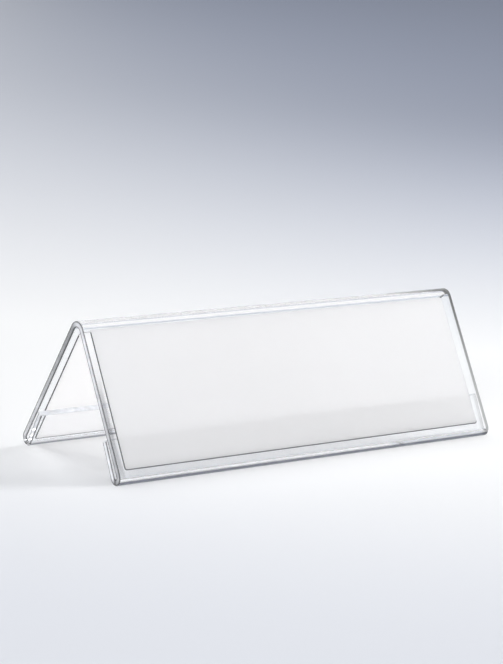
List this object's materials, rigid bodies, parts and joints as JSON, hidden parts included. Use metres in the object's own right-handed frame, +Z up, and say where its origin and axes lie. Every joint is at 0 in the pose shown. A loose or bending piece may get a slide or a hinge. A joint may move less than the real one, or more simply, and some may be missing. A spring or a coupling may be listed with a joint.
{
  "type": "desk name plate",
  "caption": "Clear A-shaped desk name plate: a bent acrylic sheet with a folded card pocket along the foot of each leg, holding bare white name cards that slide out at the open ends.",
  "frame": {"origin": "centre of the footprint, on the desk plane that the folded feet stand on", "axes": "+X along the ridge, to the right seen from the front; the front faces -Y; +Z up"},
  "size_m": [0.22, 0.0808, 0.0669],
  "materials": {
    "clear_acrylic": "clear, polished faces and softly polished cut edges",
    "white_card": "matt, slightly translucent"
  },
  "bodies": {
    "holder": {"clear_holder": "clear_acrylic"},
    "front_card": {"front_name_card": "white_card"},
    "rear_card": {"rear_name_card": "white_card"}
  },
  "joints": [
    {"name": "front_card_slide", "type": "slide", "parent": "holder", "child": "front_card", "axis": [1, 0, 0], "range_m": [-0.216, 0.216]},
    {"name": "rear_card_slide", "type": "slide", "parent": "holder", "child": "rear_card", "axis": [1, 0, 0], "range_m": [-0.2145, 0.2175]}
  ]
}
